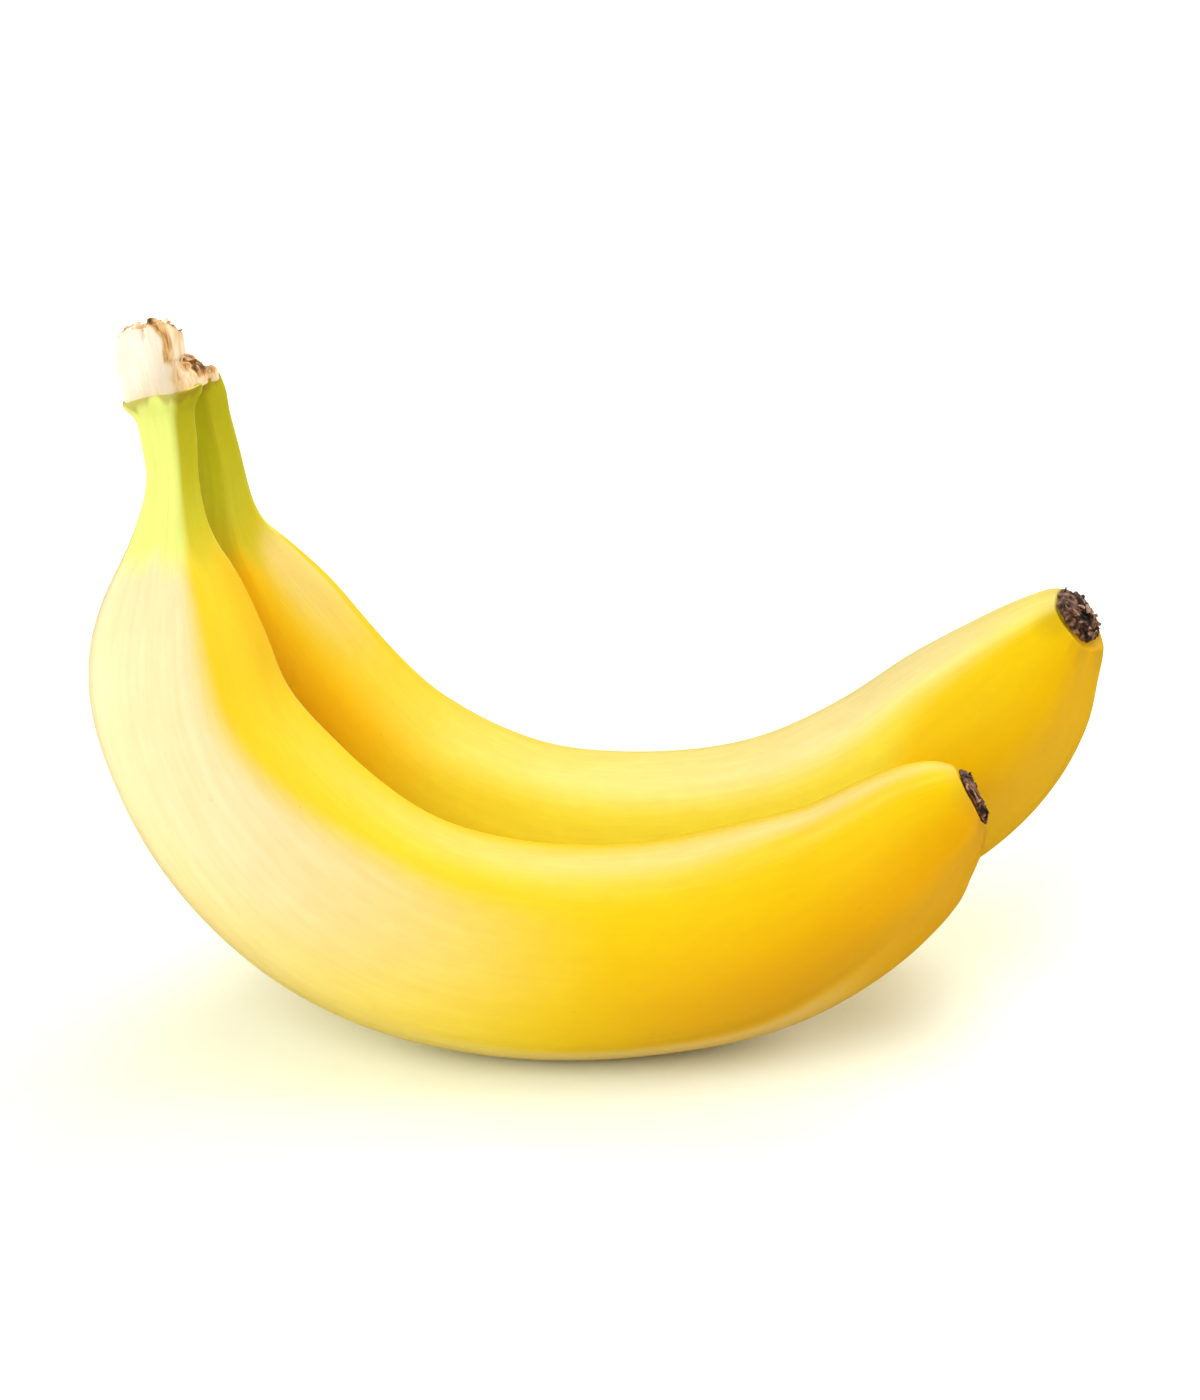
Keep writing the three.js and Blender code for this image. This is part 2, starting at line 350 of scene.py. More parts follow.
# How much browner each part of the cork is, from 0 to 1, and the spans in mm over which that comes.
BROWN = {"all": 0.06, "torn": 0.24, "edge": 0.5, "layer": 0.26, "fissure": -0.3, "right": 0.3, "raised": 0.4}
EDGE_BROWNS = 0.4  # how far beside the loose layer's edge
LAYER_BROWNS = (0, 0.6)  # past that edge
RIGHT_BROWNS = (3.2, 4.4), (0.4, 1.4)  # to the right, and up
RAISED_BROWNS = (0.08, 0.4), (3, 8)  # out of the surroundings, and up

# Where the cork's parts begin and end, in mm on its own ground.
BLOCK_HEIGHTS = (4.3, 5.6)
BLOCK_ENDS = (-3.6, -2.6)  # going left
TOP_FACES_UP = (0.38, 0.62)  # how far a torn face of the block looks up
TOP_HEIGHTS = (3.6, 5.0)
LOBE_HEIGHTS = (1.6, 2.8)
LOBE_BEGINS = (0.6, 1.8)  # going right and back
TORN_ENOUGH = 0.45  # for strands and chips to stand there
RAISED_ENOUGH = 0.02  # the same, in mm, for strands

STRANDS = 40  # torn fibres that stand up from the crown's edges
STRAND_SIZES = (0.2, 0.5)
CHIPS = 34  # scraps of cork along its torn edges
CHIP_SIZES = (0.35, 0.75)
BIT_SHADES = (0.1, 0.85)  # how brown strands and chips are
CRUMPLE = 0.22  # how far every scrap is crumpled out of its shape
CORK_BOX = ((-8, -9.5, -1), (8, 9, 13))  # two corners of the space that the cork fills
SPOT_TRIES = 12000  # places drawn in that box to find spots on the cork
SPOT_REACH = 0.35  # how near to the cork such a place has to be

# The dried flower, from its back face out to its heart: radius, height.
FLOWER_SIDES = 48
FLOWER_SMOOTHING = 2  # levels of subdivision
FLOWER = [
    (0.4, -1.2),
    (4.2, -1.2),
    (5.0, -0.5),
    (5.2, 0.0),
    (4.8, 0.5),
    (4.0, 0.75),
    (3.1, 0.8),
    (2.4, 0.6),
    (1.7, 0.15),
    (1.1, 0.0),
    (0.7, 0.2),
    (0.4, 0.5),
    (0.15, 0.6),
]
# Its unevenness: how high in mm, how many lumps to a mm, and a seed that each flower adds its own to.
FLOWER_TEETH = (0.16, 2.2, 0.5)
FLOWER_FRAY = (0.08, 6.0, 7.5)
FLOWER_FOLDS = (0.6, 0.7, 0)
FLOWER_CRUMBS = (0.25, 1.8, 5)
FLOWER_WARP = (0.45, 0.17, 9)
FLOWER_WEAR = (0.5, 0.7, 20)
FLAKE_PATCHES = (0.4, 1.2, 0)
FOLDS_SINK = 0.2  # how deep the crust lies between the folds
FOLDS_FROM = (-1.0, -0.2)  # heights over which its back turns into its folded face
PIT = (1.2, 2.4)  # radius over which the dark pit ends
PIT_OFFSET = 1.1  # how far the pit of a blossom end lies off its middle
OFFSET_FADES = (0.5, 5)  # radii over which that fades
RIM_DROOP = 0.6  # how far its rim lies back over the fruit
DROOP_COMES = (2.0, 5.6)  # radii over which that comes
CRUST_SHARP = 50  # degrees between two faces from which the edge between them stays sharp
FLAKES = 44  # curled scraps of the dried flower
FLAKE_SIZES = (0.45, 1.0)
FLAKE_SHADES = (0.2, 1.0)  # how worn they are
FLAKES_REACH = 4.7  # how far from the middle the last of them stands
FLAKES_RISE = 0.65  # how high their feet are, and how far and over which radii that falls outwards
FLAKES_FALL = 0.6
FLAKES_FALL_FROM = (3.6, 5.0)
GOLDEN_TURN = 2 * math.pi * 0.381966  # from each flake to the next, as florets stand

# ---- hand tools ----


def deselect():
    if bpy.context.object and bpy.context.object.mode != "OBJECT":
        bpy.ops.object.mode_set(mode="OBJECT")
    bpy.ops.object.select_all(action="DESELECT")


def pick(piece):
    deselect()
    bpy.context.view_layer.objects.active = piece
    piece.select_set(True)


def named(name):
    """The object just added, under its own name, with its place in its mesh."""
    piece = bpy.context.object
    piece.name = piece.data.name = name
    bpy.ops.object.transform_apply(location=True, rotation=True, scale=True)
    return piece


def extrude(shift, scale, **about):
    """Draws out what is selected by a shift in metres, then resizes it."""
    bpy.ops.mesh.extrude_region_move(TRANSFORM_OT_translate={"value": shift})
    bpy.ops.transform.resize(value=scale, **about)


def apply(piece, kind, **settings):
    """Adds a modifier with its settings and applies it."""
    pick(piece)
    modifier = piece.modifiers.new(kind.title(), kind)
    for key, value in settings.items():
        setattr(modifier, key, value)
    bpy.ops.object.modifier_apply(modifier=modifier.name)


def smooth_out(piece, levels, kind="CATMULL_CLARK"):
    apply(piece, "SUBSURF", levels=levels, render_levels=levels, subdivision_type=kind)


def read(piece, source, key, width=3):
    """A number or a vector for every point of a piece, from one of its mesh's lists."""
    flat = np.empty(width * len(piece.data.vertices), np.float32)
    source.foreach_get(key, flat)
    return flat.astype(float) if width == 1 else flat.reshape(-1, width).astype(float)


def places(piece):
    return read(piece, piece.data.vertices, "co")


def outwards(piece):
    return read(piece, piece.data.vertex_normals, "vector")


def move_to(piece, co):
    piece.data.vertices.foreach_set("co", np.asarray(co, np.float32).ravel())
    piece.data.update()


def keep(piece, name, values):
    """Keeps a number or a vector for every point of a piece, for its material to read."""
    values = np.asarray(values, np.float32)
    kind, key = ("FLOAT_VECTOR", "vector") if values.ndim == 2 else ("FLOAT", "value")
    layer = piece.data.attributes.get(name) or piece.data.attributes.new(name, kind, "POINT")
    layer.data.foreach_set(key, values.ravel())


def kept(piece, name, width=1):
    return read(piece, piece.data.attributes[name].data, "vector" if width == 3 else "value", width)


def bump(points, scale, seed=0.0):
    """Smooth noise from -1 to 1 at each point, for points in mm and a scale of lumps to the mm."""
    scale = np.broadcast_to(np.asarray(scale, float), 3)
    return np.array([noise.noise(Vector(p)) for p in points * scale + seed])


def uneven(points, kind, more=0):
    """How far a kind of unevenness lifts each point; more is added to its seed."""
    height, scale, seed = kind
    return height * bump(points, scale, seed + more)


def between(x, low, high):
    """0 below low and 1 above high, smoothly."""
    t = np.clip((x - low) / (high - low), 0, 1)
    return t * t * (3 - 2 * t)


def span(x, comes, goes):
    """1 between where something has come and where it starts to go, and 0 well outside, smoothly."""
    return between(x, *comes) * (1 - between(x, *goes))


def through(table, share):
    """The values of a table of stations on a smooth curve, one row for each share."""
    rows = np.array(table, float)
    place, value = rows[:, 0], rows[:, 1:]
    rise = np.diff(value, axis=0) / np.diff(place)[:, None]
    slope = np.vstack([rise[:1], (rise[:-1] + rise[1:]) / 2, rise[-1:]])
    share = np.clip(share, place[0], place[-1])
    i = np.clip(np.searchsorted(place, share, side="right") - 1, 0, len(place) - 2)
    gap = (place[i + 1] - place[i])[:, None]
    t = (share - place[i])[:, None] / gap
    rest = 1 - t
    ends = value[i] * rest**2 * (1 + 2 * t) + value[i + 1] * t**2 * (1 + 2 * rest)
    return ends + gap * (slope[i] * t * rest**2 - slope[i + 1] * t**2 * rest)


def unit(rows):
    return rows / np.linalg.norm(rows, axis=-1, keepdims=True)


# ---- the bananas ----


def facing(tip):
    """Unit direction that a blossom end faces."""
    lift, side = math.radians(tip["lift"]), math.radians(tip["side"])
    return np.array([math.cos(side) * math.cos(lift), math.sin(side), math.cos(side) * math.sin(lift)])


def crown_up():
    """Unit direction across the crown's flat underside, which both necks meet."""
    apart = np.subtract(FAR_LINE[0], NEAR_LINE[0])
    return unit(np.array([-CROWN_RISE, (CROWN_RISE * apart[0] - apart[2]) / apart[1], 1]))


def middle_line(points, shares):
    """Places and directions at shares of the length of a smooth line, and that length."""
    p = np.array(points, float)
    p = np.vstack([2 * p[0] - p[1], p, 2 * p[-1] - p[-2]])
    fine = []
    for a, b, c, d in zip(p, p[1:], p[2:], p[3:]):
        ab, bc, cd = (np.linalg.norm(v) ** 0.5 for v in (b - a, c - b, d - c))
        start = ((b - a) / ab - (c - a) / (ab + bc) + (c - b) / bc) * bc
        end = ((c - b) / bc - (d - b) / (bc + cd) + (d - c) / cd) * bc
        t = np.linspace(0, 1, 80, endpoint=False)[:, None]
        bow = 3 * (c - b) - 2 * start - end
        swing = 2 * (b - c) + start + end
        fine.append(b + start * t + bow * t**2 + swing * t**3)
    fine = np.vstack([*fine, p[-2]])
    run = np.concatenate([[0], np.cumsum(np.linalg.norm(np.diff(fine, axis=0), axis=1))])
    at = shares * run[-1]
    step = 1e-3 * run[-1]
    place, ahead, behind = (
        np.stack([np.interp(np.clip(at + off, 0, run[-1]), run, fine[:, k]) for k in range(3)], 1)
        for off in (0, step, -step)
    )
    return place, unit(ahead - behind), run[-1]


def ring_stations():
    """Share of the length and reach from the middle line of every ring that a fruit is drawn through."""
    steps = np.linspace(0, 1, FRUIT_RINGS + 1)
    share = steps - END_CROWDING * np.sin(2 * np.pi * steps) / (2 * np.pi)
    closing = np.array(END_RINGS)
    share = np.concatenate([0 * closing, share, 0 * closing + 1])
    reach = np.concatenate([closing, np.ones(FRUIT_RINGS + 1), closing[::-1]])
    return share, reach


def draw_out(name, place, along, radius):
    """Draws a stem out along its line: each ring is extruded from the last, turned and resized."""
    deselect()
    turn = Vector(along[0]).to_track_quat("Z", "Y").to_euler()
    bpy.ops.mesh.primitive_circle_add(
        vertices=FRUIT_SIDES, radius=radius[0], fill_type="NGON", location=place[0], rotation=turn
    )
    stem = named(name)
    bpy.ops.object.mode_set(mode="EDIT")
    for i in range(1, len(place)):
        bend = math.atan2(along[i][0], along[i][2]) - math.atan2(along[i - 1][0], along[i - 1][2])
        extrude(place[i] - place[i - 1], [radius[i] / radius[i - 1]] * 3, center_override=place[i])
        if abs(bend) > 1e-4:
            bpy.ops.transform.rotate(value=-bend, orient_axis="Y", center_override=place[i])
    bpy.ops.object.mode_set(mode="OBJECT")
    return stem


def lean_into(offset, along, normal, amount):
    """Slides offsets along the middle line into the plane across a given direction."""
    slide = -(offset @ normal) / (along @ normal) * amount
    return offset + along * slide[:, None]


def five_ridges(stem, line, depths, tip, share, reach):
    """Presses the five soft ridges into a drawn stem, and keeps the fruit's own coordinates."""
    ring = np.arange(len(stem.data.vertices)) // FRUIT_SIDES
    place, along, length = middle_line(line, share)
    side = unit(np.array([0.0, 1.0, 0.0]) - along * along[:, 1:2])
    inward = np.cross(along, side)
    share, reach, place, along, side, inward = (v[ring] for v in (share, reach, place, along, side, inward))
    out = places(stem) / MM - place
    angle = np.arctan2(-(out * side).sum(1), (out * inward).sum(1))
    rounded, sharp, twist = through(RIDGE_PROFILE, share).T
    phase = RIDGES * (angle - np.radians(FIRST_RIDGE + twist))
    ridge = rounded * np.cos(phase) + sharp * np.cos(2 * phase)
    depth = through(depths, share)[:, 0] * PLUMP * (1 + ridge) * reach * nose_round(share, length)
    width = WIDTH_TO_DEPTH * depth
    offset = inward * (depth * np.cos(angle))[:, None] - side * (width * np.sin(angle))[:, None]
    offset = lean_into(offset, along, crown_up(), 1 - between(share, 0, CROWN_FADE))
    offset = lean_into(offset, along, facing(tip), between(share, 1 - tip["fade"], 1))
    fall = NOSE_FALL * between(reach, END_RINGS[0], 1) ** 2 * (share > 1 - 1e-9)
    offset -= fall[:, None] * facing(tip)
    offset += torn_rim(share, reach, angle)[:, None] * crown_up()
    move_to(stem, (place + offset) * MM)
    girth = GIRTH * reach
    keep(stem, "straight", np.stack([girth * np.cos(angle), girth * np.sin(angle), share * length], 1))
    keep(stem, "share", share)


def nose_round(share, length):
    """What the rounding of the blossom nose leaves of the radius."""
    nose = np.clip(1 - (1 - share) * length / NOSE_ROUND, 0, 1)
    return 1 - NOSE_SHRINK * (1 - np.sqrt(1 - nose**2))


def torn_rim(share, reach, angle):
    """How far the torn rim of the skin stands up round the crown, in mm."""
    collar = between(-share, -RIM_LENGTH, 0) * between(reach, *RIM_WIDTH)
    ragged = 0.5 + 0.5 * np.cos(angle - math.radians(RIM_PEAK)) + 0.4 * np.cos(3 * angle + 1)
    return RIM_RISE * collar * ragged


def weather(fruit):
    """The unevenness that growing and handling leave: slow swells, neck creases and puckers at the tip."""
    straight, share = kept(fruit, "straight", 3), kept(fruit, "share")
    swell = uneven(straight, SWELLS) * between(share, *SWELLS_AT)
    ripple = uneven(straight, RIPPLES) * between(share, *RIPPLES_AT)
    crease = np.abs(uneven(straight, NECK_CREASES)) * span(share, *NECK_CREASES_AT)
    pucker = np.abs(uneven(straight, TIP_PUCKERS)) * span(share, *TIP_PUCKERS_AT)
    reach = np.hypot(straight[:, 0], straight[:, 1]) / GIRTH
    depth = (swell + ripple - crease - pucker) * np.minimum(1, reach)
    move_to(fruit, places(fruit) + outwards(fruit) * (depth * MM)[:, None])


def rest_flat(fruit):
    """Presses the belly flat on the ground, and nothing past the widest place that it was grown to."""
    co = places(fruit)
    co[:, 2] = np.maximum(co[:, 2], 0)
    co[:, 1] = np.clip(co[:, 1], cad_box[0][1], cad_box[1][1])
    move_to(fruit, co)


def banana(name, line, depths, tip, look):
    share, reach = ring_stations()
    place, along, _ = middle_line(line, share)
    radius = through(depths, share)[:, 0] * reach
    fruit = draw_out(name, place * MM, along, radius * MM)
    five_ridges(fruit, line, depths, tip, share, reach)
    smooth_out(fruit, FRUIT_SMOOTHING)
    weather(fruit)
    rest_flat(fruit)
    keep_looks_and_painted_light(fruit, look)
    bpy.ops.object.shade_smooth()
    return fruit


def keep_looks_and_painted_light(fruit, look):
    """Keeps, each from 0 to 1, how pale the skin is painted with highlights and bounced light, how lemon it
    is, partly painted top light, how deep a gold, partly painted shade, how strong the painted ridge shadow
    is, the amber painted as bounced light in the groove, and the dark green painted as shade on the neck.
    """
    straight, share = kept(fruit, "straight", 3), kept(fruit, "share")
    angle = np.degrees(np.arctan2(straight[:, 1], straight[:, 0]))
    twist = through(RIDGE_PROFILE, share)[:, 2]
    warp = bump(straight, LOOK_WANDER, 11.0)
    past = np.abs(angle) - (FIRST_RIDGE + np.sign(angle) * twist) + LOOK_SWAY * warp
    drift = share + LOOK_DRIFT * warp
    # Painted light: the very bottom is painted paler, as light bounced up from the floor.
    lip = look["lip"] * between(past, *LIP_EDGE) * span(drift, LIP_COMES, LIP_GOES)
    # Painted highlights and painted bounced light, in cream.
    keep(fruit, "pale", paleness(look, share, drift, past, lip))
    # Painted shadow: a darker brown-gold band just above the very bottom, along the lower ridge.
    ridge_shadow = span(past, *RIDGE_SHADOW_EDGES) * between(drift, *RIDGE_SHADOW_COMES) * (1 - between(share, *RIDGE_SHADOW_GOES))
    keep(fruit, "ridge_shadow", look["ridge_shadow"] * ridge_shadow)
    # Lemon on the top towards the blossom end, partly the skin's own tone and partly painted top light.
    lemon_strength, still, gone = look["lemon"]
    narrower = LEMON_DRAWS_IN * between(share, still, gone)
    lemon = lemon_strength * between(drift, *LEMON_COMES) * (1 - between(past + narrower, *look["lemon_edge"]))
    keep(fruit, "lemon", lemon)
    # Deeper gold on the underside, partly ripeness and partly painted shade.
    ripest, start, full = look["under"]
    under = ripest * between(past, *look["under_edge"]) * between(drift, start, full)
    # Painted shade: deeper gold in the hollow by the neck.
    hollow = (1 - between(np.abs(angle), *HOLLOW_EDGE)) * (1 - between(share, *HOLLOW_GOES))
    keep(fruit, "deep", np.clip(under * (1 - 0.5 * lip) + look["hollow"] * hollow, 0, 1))
    # Painted light: amber on the side towards the other fruit, as light bounced between them.
    groove = between(past, *GROOVE_EDGE) * between(angle, *GROOVE_SIDE) * (1 - between(share, *GROOVE_GOES))
    keep(fruit, "amber", look["groove"] * groove)
    # Painted shade: the dark green of the neck on the sides turned from the lights.
    shown_side, far_side = (between(past, *edge) for edge in look["dark_neck"])
    keep(fruit, "dark_green", 1 - np.where(angle > 0, shown_side, far_side))


def paleness(look, share, drift, past, lip):
    """How pale the skin is painted where light falls: a painted highlight on its cream half, painted top
    light, a painted highlight on its top round its neck, and light bounced up from the floor painted along
    its very bottom.
    """
    sooner = CREAM_HIGHLIGHT_GOES_SOONER * between(past, *UNDERSIDE)
    # Painted highlight: the cream half towards the neck.
    cream_highlight = between(past, *look["cream_highlight"]) * (1 - between(drift + sooner, *CREAM_HIGHLIGHT_GOES))
    # Painted top light: the top of the fruit painted paler.
    top = look["top"] * between(drift, *TOP_COMES) * (1 - 0.5 * between(share, *TOP_FADES))
    top *= 1 - between(past, *look["top_edge"])
    # Painted highlight: paler on the top by the neck.
    collar = look["collar"] * (1 - between(share, *COLLAR_GOES)) * (1 - between(past, *COLLAR_EDGE))
    return np.clip(cream_highlight + collar + top + 0.6 * lip, 0, 1)


# ---- the crown and the blossom ends ----


def stand_on(piece, normal, foot):
    """Stands a piece, modelled on its own ground in mm, across a direction with its foot in place."""
    turn = np.array(Vector((0, 0, 1)).rotation_difference(Vector(normal)).to_matrix())
    move_to(piece, (places(piece) / MM @ turn.T + foot) * MM)


def lump(name, rings, turn, phase):
    """Draws up a blocky lump of cork ring by ring, then squares its sides."""
    heights = np.linspace(rings[0][0], rings[-1][0], CORK_LAYERS + 1)
    rows = through(rings, heights)
    centres = np.column_stack([rows[:, :2], heights])
    deselect()
    bpy.ops.mesh.primitive_circle_add(
        vertices=CORK_SIDES, radius=rows[0, 2] * MM, fill_type="NGON", location=centres[0] * MM
    )
    block = named(name)
    bpy.ops.object.mode_set(mode="EDIT")
    for i in range(1, len(heights)):
        shift, wider = (centres[i] - centres[i - 1]) * MM, rows[i, 2] / rows[i - 1, 2]
        extrude(shift, [wider] * 3, center_override=centres[i] * MM)
    bpy.ops.object.mode_set(mode="OBJECT")
    ring = np.arange(len(block.data.vertices)) // CORK_SIDES
    out = places(block) / MM - centres[ring]
    angle = np.arctan2(out[:, 1], out[:, 0])
    square = (np.cos(angle) ** 4 + np.sin(angle) ** 4) ** -0.25
    waver = 1 + 0.04 * np.sin(3 * angle + phase) + 0.02 * np.sin(7 * angle + phase + 0.5 * heights[ring])
    reach = rows[ring, 2:] * (square * waver)[:, None]
    x, y = reach[:, 0] * np.cos(angle), reach[:, 1] * np.sin(angle)
    c, s = math.cos(math.radians(turn)), math.sin(math.radians(turn))
    offset = np.column_stack([c * x + s * y, c * y - s * x, 0 * x])
    move_to(block, (centres[ring] + offset) * MM)
    return block


def slice_off(piece, place, normal):
    """Cuts a flat face, as a knife does: takes off what lies beyond a plane and fills the cut."""
    pick(piece)
    bpy.ops.object.mode_set(mode="EDIT")
    bpy.ops.mesh.select_all(action="SELECT")
    bpy.ops.mesh.bisect(plane_co=np.array(place) * MM, plane_no=normal, use_fill=True, clear_outer=True)
    bpy.ops.object.mode_set(mode="OBJECT")


def joined(pieces):
    deselect()
    for piece in pieces:
        piece.select_set(True)
    bpy.context.view_layer.objects.active = pieces[0]
    bpy.ops.object.join()
    return pieces[0]


def convexity(piece, rounds):
    """How far each point stands out from its surroundings, in mm."""
    mesh = piece.data
    edges = np.empty(2 * len(mesh.edges), np.int32)
    mesh.edges.foreach_get("vertices", edges)
    a, b = edges.reshape(-1, 2).T
    start = places(piece) / MM
    smooth = start.copy()
    count = np.bincount(np.concatenate([a, b]), minlength=len(start))[:, None]
    for _ in range(rounds):
        total = np.zeros_like(smooth)
        np.add.at(total, a, smooth[b])
        np.add.at(total, b, smooth[a])
        smooth = total / np.maximum(count, 1)
    return ((start - smooth) * outwards(piece)).sum(1)


def end_face(piece, axis):
    """Goes on editing a small piece with only the face at its end along an axis selected."""
    bpy.ops.object.mode_set(mode="EDIT")
    bpy.ops.mesh.select_mode(type="FACE")
    bpy.ops.mesh.select_all(action="DESELECT")
    bpy.ops.object.mode_set(mode="OBJECT")
    for face in piece.data.polygons:
        face.select = face.normal[axis] > 0.9
    bpy.ops.object.mode_set(mode="EDIT")


def strand():
    """One torn fibre: a thin cone, drawn out and bent."""
    deselect()
    bpy.ops.mesh.primitive_cone_add(vertices=5, radius1=0.17 * MM, radius2=0.1 * MM, depth=0.8 * MM)
    fibre = named("strand")
    end_face(fibre, 2)
    for lift, side, narrow in ((0.5, 0.12, 0.7), (0.4, 0.22, 0.5), (0.25, 0.2, 0.3)):
        extrude(Vector((side, 0, lift)) * MM, [narrow] * 3)
    bpy.ops.object.mode_set(mode="OBJECT")
    return fibre


def flake():
    """One scrap of dried flower: a small bevelled tile, narrowed and curled at its free end."""
    deselect()
    bpy.ops.mesh.primitive_cube_add(size=1 * MM)
    scrap = named("flake")
    bpy.ops.object.mode_set(mode="EDIT")
    bpy.ops.transform.resize(value=(0.9, 1.2, 0.3))
    end_face(scrap, 0)
    for ahead, lift, narrow in ((0.4, 0.05, 0.95), (0.35, 0.18, 0.9), (0.2, 0.25, 0.75)):
        extrude(Vector((ahead, 0, lift)) * MM, (1, narrow, 0.8))
    bpy.ops.mesh.select_all(action="SELECT")
    bpy.ops.mesh.bevel(offset=0.06 * MM, segments=1, affect="EDGES")
    bpy.ops.mesh.subdivide(number_cuts=1)
    bpy.ops.object.mode_set(mode="OBJECT")
    return scrap


def scatter(model, spots, looks, sizes, rng):
    """Copies one small piece to many spots, each turned to its own look, sized and crumpled."""
    copies = []
    for i, (spot, look, size) in enumerate(zip(spots, looks, sizes)):
        copy = model.copy()
        copy.data = model.data.copy()
        bpy.context.scene.collection.objects.link(copy)
        spin = Matrix.Rotation(rng.uniform(0, 6.28), 3, "Z")
        lean = Vector(look).to_track_quat("Z", "Y").to_matrix() @ spin
        shape = places(copy) / MM
        bent = np.column_stack([bump(shape, 0.9, 3.7 * i + k) for k in (1, 40, 80)])
        shape = (shape + CRUMPLE * bent) * size
        move_to(copy, (shape @ np.array(lean).T + spot) * MM)
        copies.append(copy)
    bpy.data.objects.remove(model)
    return copies


def shaded(bits, name, shades, patches, more=0):
    """Keeps a shade of its own for each small piece, a little patchy, and its places for its grain."""
    for bit, shade in zip(bits, shades):
        here = places(bit) / MM
        keep(bit, name, np.clip(shade + uneven(here, patches, more), 0, 1))
        keep(bit, "grain", here)
    return bits


def spots_on(place, part, count, rng):
    """Points of part of the cork next to places drawn at random in its box, whatever order its mesh is in."""
    found = np.flatnonzero(part)
    near = kdtree.KDTree(len(found))
    for i in found:
        near.insert(place[i], i)
    near.balance()
    tries = (near.find(aim) for aim in rng.uniform(*CORK_BOX, (SPOT_TRIES, 3)))
    return np.array([i for _, i, away in tries if away < SPOT_REACH][:count])


def cork_block():
    """The cork before it frays: a tall block over the near neck and two low lobes beside it."""
    stump = lump("cork_crown", STUMP, STUMP_TURN, 0.4)
    for place, normal in STUMP_CUTS:
        slice_off(stump, place, normal)
    shoulder = lump("shoulder", SHOULDER, SHOULDER_TURN, 2.1)
    for place, normal in SHOULDER_CUTS:
        slice_off(shoulder, place, normal)
    cork = joined([stump, shoulder, lump("toe", TOE, 0, 4.0)])
    apply(cork, "REMESH", mode="VOXEL", voxel_size=CORK_GRAIN * MM)
    apply(cork, "SMOOTH", factor=0.5, iterations=12)
    return cork


def torn_parts(place, out):
    """How far each point lies on the tall block, and how torn it is: on the block's top and on both lobes."""
    x, y, z = place.T
    patchy = uneven(place, TORN_PATCHES)
    block = between(z, *BLOCK_HEIGHTS) * between(-x, *BLOCK_ENDS)
    cut_top = between(out[:, 2] + 0.25 * patchy, *TOP_FACES_UP) * between(z, *TOP_HEIGHTS)
    lobe = between(z + 0.9 * patchy, *LOBE_HEIGHTS) * (1 - block) * between(x + 0.3 * y, *LOBE_BEGINS)
    return block, np.maximum(cut_top, lobe)


def front_splits(place):
    """A fissure down the block's front, and how far each point lies past the edge of its loose layer."""
    x, y, z = place.T
    wander = uneven(place * (0, 0, 1), EDGES_WANDER)
    beside = (x - FISSURE_X + wander) / FISSURE_WIDTH
    fissure = np.exp(-(beside**2)) * between(z, *FISSURE_HEIGHTS) * (y < -3)
    edge_at = 0.1 + 0.5 * between(z, 4, 9) - 0.16 * np.maximum(z - 9, 0) ** 2 + wander
    return fissure, x - edge_at


def frayed(place, out, block, torn, fissure, past_edge):
    """How far the cork's fibres, dents, crumbs, fissure and loose layer stand out, in mm."""
    fibre = uneven(place, CORK_FIBRES) * (1 - np.abs(out[:, 2]))
    crumb = np.abs(uneven(place, CORK_CRUMBS)) - CRUMBS_SINK + uneven(place, CORK_GRIT)
    layer = LAYER_RISE * between(past_edge, *LAYER_EDGE) * block * (place[:, 1] < 0)
    return fibre + uneven(place, CORK_DENTS) + crumb * torn - FISSURE_DEPTH * fissure + layer


def browned(before, place, raised, block, torn, fissure, past_edge):
    """How brown the cork has turned, from 0 to 1: where it is torn, raised or thin at an edge."""
    x, y, z = before.T
    amounts = {
        "all": 1,
        "torn": torn,
        "edge": np.exp(-((past_edge / EDGE_BROWNS) ** 2)) * block * (y < -1),
        "layer": between(past_edge, *LAYER_BROWNS),
        "fissure": fissure,
        "right": between(x, *RIGHT_BROWNS[0]) * between(z, *RIGHT_BROWNS[1]),
        "raised": between(raised, *RAISED_BROWNS[0]) * between(z, *RAISED_BROWNS[1]),
    }
    brown = sum(BROWN[part] * amount for part, amount in amounts.items())
    brown = brown + uneven(place, CORK_STAINS) + torn * uneven(place, TORN_SCORCH)
    return np.clip(brown, 0, 1)


def torn_bits(place, out, loose, raised, high, rng):
    """Strands over the loose parts of the cork, and chips on the high ones, each with its own shade."""
    tufts = spots_on(place, loose & (raised > RAISED_ENOUGH), STRANDS, rng)
    looks = out[tufts] * 0.8 + (0, 0, 0.5) + rng.normal(0, 0.5, (STRANDS, 3))
    bits = scatter(strand(), place[tufts], looks, rng.uniform(*STRAND_SIZES, STRANDS), rng)
    scraps = spots_on(place, loose & high, CHIPS, rng)
    looks = out[scraps] + rng.normal(0, 0.4, (CHIPS, 3))
    bits += scatter(flake(), place[scraps], looks, rng.uniform(*CHIP_SIZES, CHIPS), rng)
    return shaded(bits, "brown", rng.uniform(*BIT_SHADES, STRANDS + CHIPS), BIT_PATCHES)


